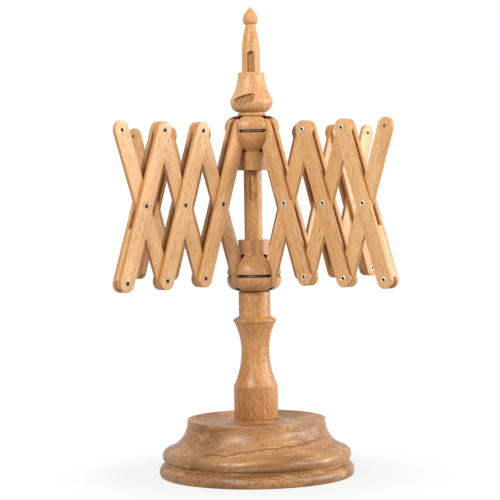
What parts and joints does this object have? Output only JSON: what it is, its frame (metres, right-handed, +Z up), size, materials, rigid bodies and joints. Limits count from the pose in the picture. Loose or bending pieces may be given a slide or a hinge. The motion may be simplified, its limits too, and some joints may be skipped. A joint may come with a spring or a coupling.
{
  "type": "umbrella swift",
  "caption": "Wooden tabletop umbrella swift: turned base and column, a spinning spindle, and folding lazy-tongs arms between two slotted hubs that open to hold a skein of yarn.",
  "frame": {"origin": "centre of the flat underside of the base", "axes": "+Z up along the spindle, the keyway and the gap between two arms face -Y"},
  "size_m": [0.2942, 0.2942, 0.5137],
  "materials": {
    "beech_turned": "satin varnish",
    "beech_slat": "satin varnish",
    "rivet_steel": "rolled",
    "wire_steel": "drawn wire"
  },
  "bodies": {
    "stand": {"base": "beech_turned", "column": "beech_turned"},
    "rotor": {"spindle": "beech_turned", "lower_hub": "beech_turned", "lower_hub_wire": "wire_steel"},
    "upper_slide": {"upper_hub": "beech_turned", "upper_hub_wire": "wire_steel"},
    "cap": {"lock_cap": "beech_turned"},
    "front_left_strut_inner": {"front_left_strut_inner": "beech_slat"},
    "front_left_rail_inner": {"front_left_rail_inner_near": "beech_slat", "front_left_rail_inner_far": "beech_slat", "front_left_rivets_inner": "rivet_steel"},
    "front_left_strut_middle": {"front_left_strut_middle": "beech_slat"},
    "front_left_rail_middle": {"front_left_rail_middle_near": "beech_slat", "front_left_rail_middle_far": "beech_slat", "front_left_rivets_middle": "rivet_steel"},
    "front_left_strut_outer": {"front_left_strut_outer": "beech_slat"},
    "front_left_rail_outer": {"front_left_rail_outer_near": "beech_slat", "front_left_rail_outer_far": "beech_slat", "front_left_rivets_outer": "rivet_steel", "front_left_tip_spacer": "beech_slat"},
    "front_right_strut_inner": {"front_right_strut_inner": "beech_slat"},
    "front_right_rail_inner": {"front_right_rail_inner_near": "beech_slat", "front_right_rail_inner_far": "beech_slat", "front_right_rivets_inner": "rivet_steel"},
    "front_right_strut_middle": {"front_right_strut_middle": "beech_slat"},
    "front_right_rail_middle": {"front_right_rail_middle_near": "beech_slat", "front_right_rail_middle_far": "beech_slat", "front_right_rivets_middle": "rivet_steel"},
    "front_right_strut_outer": {"front_right_strut_outer": "beech_slat"},
    "front_right_rail_outer": {"front_right_rail_outer_near": "beech_slat", "front_right_rail_outer_far": "beech_slat", "front_right_rivets_outer": "rivet_steel", "front_right_tip_spacer": "beech_slat"},
    "back_right_strut_inner": {"back_right_strut_inner": "beech_slat"},
    "back_right_rail_inner": {"back_right_rail_inner_near": "beech_slat", "back_right_rail_inner_far": "beech_slat", "back_right_rivets_inner": "rivet_steel"},
    "back_right_strut_middle": {"back_right_strut_middle": "beech_slat"},
    "back_right_rail_middle": {"back_right_rail_middle_near": "beech_slat", "back_right_rail_middle_far": "beech_slat", "back_right_rivets_middle": "rivet_steel"},
    "back_right_strut_outer": {"back_right_strut_outer": "beech_slat"},
    "back_right_rail_outer": {"back_right_rail_outer_near": "beech_slat", "back_right_rail_outer_far": "beech_slat", "back_right_rivets_outer": "rivet_steel", "back_right_tip_spacer": "beech_slat"},
    "back_left_strut_inner": {"back_left_strut_inner": "beech_slat"},
    "back_left_rail_inner": {"back_left_rail_inner_near": "beech_slat", "back_left_rail_inner_far": "beech_slat", "back_left_rivets_inner": "rivet_steel"},
    "back_left_strut_middle": {"back_left_strut_middle": "beech_slat"},
    "back_left_rail_middle": {"back_left_rail_middle_near": "beech_slat", "back_left_rail_middle_far": "beech_slat", "back_left_rivets_middle": "rivet_steel"},
    "back_left_strut_outer": {"back_left_strut_outer": "beech_slat"},
    "back_left_rail_outer": {"back_left_rail_outer_near": "beech_slat", "back_left_rail_outer_far": "beech_slat", "back_left_rivets_outer": "rivet_steel", "back_left_tip_spacer": "beech_slat"}
  },
  "joints": [
    {"name": "spin", "type": "hinge", "parent": "stand", "child": "rotor", "pos_m": [0, 0, 0.2], "axis": [0, 0, 1], "continuous": true},
    {"name": "fold", "type": "hinge", "parent": "rotor", "child": "front_left_strut_inner", "pos_m": [-0.01732, -0.01732, 0.2199], "axis": [0.7071, -0.7071, 0], "range_deg": [0, 41]},
    {"name": "front_left_rail_inner_turn", "type": "hinge", "parent": "front_left_strut_inner", "child": "front_left_rail_inner", "pos_m": [-0.03707, -0.03707, 0.29875], "axis": [-0.7071, 0.7071, 0], "range_deg": [0, 82]},
    {"name": "front_left_rail_middle_turn", "type": "hinge", "parent": "front_left_strut_inner", "child": "front_left_rail_middle", "pos_m": [-0.05681, -0.05681, 0.3776], "axis": [-0.7071, 0.7071, 0], "range_deg": [0, 82]},
    {"name": "front_left_strut_middle_turn", "type": "hinge", "parent": "front_left_rail_inner", "child": "front_left_strut_middle", "pos_m": [-0.05681, -0.05681, 0.2199], "axis": [0.7071, -0.7071, 0], "range_deg": [0, 82]},
    {"name": "front_left_strut_outer_turn", "type": "hinge", "parent": "front_left_rail_middle", "child": "front_left_strut_outer", "pos_m": [-0.0963, -0.0963, 0.2199], "axis": [0.7071, -0.7071, 0], "range_deg": [0, 82]},
    {"name": "front_left_rail_outer_turn", "type": "hinge", "parent": "front_left_strut_middle", "child": "front_left_rail_outer", "pos_m": [-0.0963, -0.0963, 0.3776], "axis": [-0.7071, 0.7071, 0], "range_deg": [0, 82]},
    {"name": "upper_hub_rise", "type": "hinge", "parent": "front_left_rail_inner", "child": "upper_slide", "pos_m": [-0.01732, -0.01732, 0.3776], "axis": [0.7071, -0.7071, 0], "range_deg": [0, 41]},
    {"name": "front_right_strut_inner_turn", "type": "hinge", "parent": "rotor", "child": "front_right_strut_inner", "pos_m": [0.01732, -0.01732, 0.2199], "axis": [0.7071, 0.7071, 0], "range_deg": [0, 41]},
    {"name": "front_right_rail_inner_turn", "type": "hinge", "parent": "front_right_strut_inner", "child": "front_right_rail_inner", "pos_m": [0.03707, -0.03707, 0.29875], "axis": [-0.7071, -0.7071, 0], "range_deg": [0, 82]},
    {"name": "front_right_rail_middle_turn", "type": "hinge", "parent": "front_right_strut_inner", "child": "front_right_rail_middle", "pos_m": [0.05681, -0.05681, 0.3776], "axis": [-0.7071, -0.7071, 0], "range_deg": [0, 82]},
    {"name": "front_right_strut_middle_turn", "type": "hinge", "parent": "front_right_rail_inner", "child": "front_right_strut_middle", "pos_m": [0.05681, -0.05681, 0.2199], "axis": [0.7071, 0.7071, 0], "range_deg": [0, 82]},
    {"name": "front_right_strut_outer_turn", "type": "hinge", "parent": "front_right_rail_middle", "child": "front_right_strut_outer", "pos_m": [0.0963, -0.0963, 0.2199], "axis": [0.7071, 0.7071, 0], "range_deg": [0, 82]},
    {"name": "front_right_rail_outer_turn", "type": "hinge", "parent": "front_right_strut_middle", "child": "front_right_rail_outer", "pos_m": [0.0963, -0.0963, 0.3776], "axis": [-0.7071, -0.7071, 0], "range_deg": [0, 82]},
    {"name": "back_right_strut_inner_turn", "type": "hinge", "parent": "rotor", "child": "back_right_strut_inner", "pos_m": [0.01732, 0.01732, 0.2199], "axis": [-0.7071, 0.7071, 0], "range_deg": [0, 41]},
    {"name": "back_right_rail_inner_turn", "type": "hinge", "parent": "back_right_strut_inner", "child": "back_right_rail_inner", "pos_m": [0.03707, 0.03707, 0.29875], "axis": [0.7071, -0.7071, 0], "range_deg": [0, 82]},
    {"name": "back_right_rail_middle_turn", "type": "hinge", "parent": "back_right_strut_inner", "child": "back_right_rail_middle", "pos_m": [0.05681, 0.05681, 0.3776], "axis": [0.7071, -0.7071, 0], "range_deg": [0, 82]},
    {"name": "back_right_strut_middle_turn", "type": "hinge", "parent": "back_right_rail_inner", "child": "back_right_strut_middle", "pos_m": [0.05681, 0.05681, 0.2199], "axis": [-0.7071, 0.7071, 0], "range_deg": [0, 82]},
    {"name": "back_right_strut_outer_turn", "type": "hinge", "parent": "back_right_rail_middle", "child": "back_right_strut_outer", "pos_m": [0.0963, 0.0963, 0.2199], "axis": [-0.7071, 0.7071, 0], "range_deg": [0, 82]},
    {"name": "back_right_rail_outer_turn", "type": "hinge", "parent": "back_right_strut_middle", "child": "back_right_rail_outer", "pos_m": [0.0963, 0.0963, 0.3776], "axis": [0.7071, -0.7071, 0], "range_deg": [0, 82]},
    {"name": "back_left_strut_inner_turn", "type": "hinge", "parent": "rotor", "child": "back_left_strut_inner", "pos_m": [-0.01732, 0.01732, 0.2199], "axis": [-0.7071, -0.7071, 0], "range_deg": [0, 41]},
    {"name": "back_left_rail_inner_turn", "type": "hinge", "parent": "back_left_strut_inner", "child": "back_left_rail_inner", "pos_m": [-0.03707, 0.03707, 0.29875], "axis": [0.7071, 0.7071, 0], "range_deg": [0, 82]},
    {"name": "back_left_rail_middle_turn", "type": "hinge", "parent": "back_left_strut_inner", "child": "back_left_rail_middle", "pos_m": [-0.05681, 0.05681, 0.3776], "axis": [0.7071, 0.7071, 0], "range_deg": [0, 82]},
    {"name": "back_left_strut_middle_turn", "type": "hinge", "parent": "back_left_rail_inner", "child": "back_left_strut_middle", "pos_m": [-0.05681, 0.05681, 0.2199], "axis": [-0.7071, -0.7071, 0], "range_deg": [0, 82]},
    {"name": "back_left_strut_outer_turn", "type": "hinge", "parent": "back_left_rail_middle", "child": "back_left_strut_outer", "pos_m": [-0.0963, 0.0963, 0.2199], "axis": [-0.7071, -0.7071, 0], "range_deg": [0, 82]},
    {"name": "back_left_rail_outer_turn", "type": "hinge", "parent": "back_left_strut_middle", "child": "back_left_rail_outer", "pos_m": [-0.0963, 0.0963, 0.3776], "axis": [0.7071, 0.7071, 0], "range_deg": [0, 82]},
    {"name": "cap_slide", "type": "slide", "parent": "upper_slide", "child": "cap", "axis": [0, 0, 1], "range_m": [0, 0.05]}
  ],
  "couplings": [
    {"joint": "front_left_rail_inner_turn", "follows": "fold", "ratio": 2},
    {"joint": "front_left_rail_middle_turn", "follows": "fold", "ratio": 2},
    {"joint": "front_left_strut_middle_turn", "follows": "fold", "ratio": 2},
    {"joint": "front_left_strut_outer_turn", "follows": "fold", "ratio": 2},
    {"joint": "front_left_rail_outer_turn", "follows": "fold", "ratio": 2},
    {"joint": "upper_hub_rise", "follows": "fold", "ratio": 1},
    {"joint": "front_right_strut_inner_turn", "follows": "fold", "ratio": 1},
    {"joint": "front_right_rail_inner_turn", "follows": "fold", "ratio": 2},
    {"joint": "front_right_rail_middle_turn", "follows": "fold", "ratio": 2},
    {"joint": "front_right_strut_middle_turn", "follows": "fold", "ratio": 2},
    {"joint": "front_right_strut_outer_turn", "follows": "fold", "ratio": 2},
    {"joint": "front_right_rail_outer_turn", "follows": "fold", "ratio": 2},
    {"joint": "back_right_strut_inner_turn", "follows": "fold", "ratio": 1},
    {"joint": "back_right_rail_inner_turn", "follows": "fold", "ratio": 2},
    {"joint": "back_right_rail_middle_turn", "follows": "fold", "ratio": 2},
    {"joint": "back_right_strut_middle_turn", "follows": "fold", "ratio": 2},
    {"joint": "back_right_strut_outer_turn", "follows": "fold", "ratio": 2},
    {"joint": "back_right_rail_outer_turn", "follows": "fold", "ratio": 2},
    {"joint": "back_left_strut_inner_turn", "follows": "fold", "ratio": 1},
    {"joint": "back_left_rail_inner_turn", "follows": "fold", "ratio": 2},
    {"joint": "back_left_rail_middle_turn", "follows": "fold", "ratio": 2},
    {"joint": "back_left_strut_middle_turn", "follows": "fold", "ratio": 2},
    {"joint": "back_left_strut_outer_turn", "follows": "fold", "ratio": 2},
    {"joint": "back_left_rail_outer_turn", "follows": "fold", "ratio": 2}
  ]
}
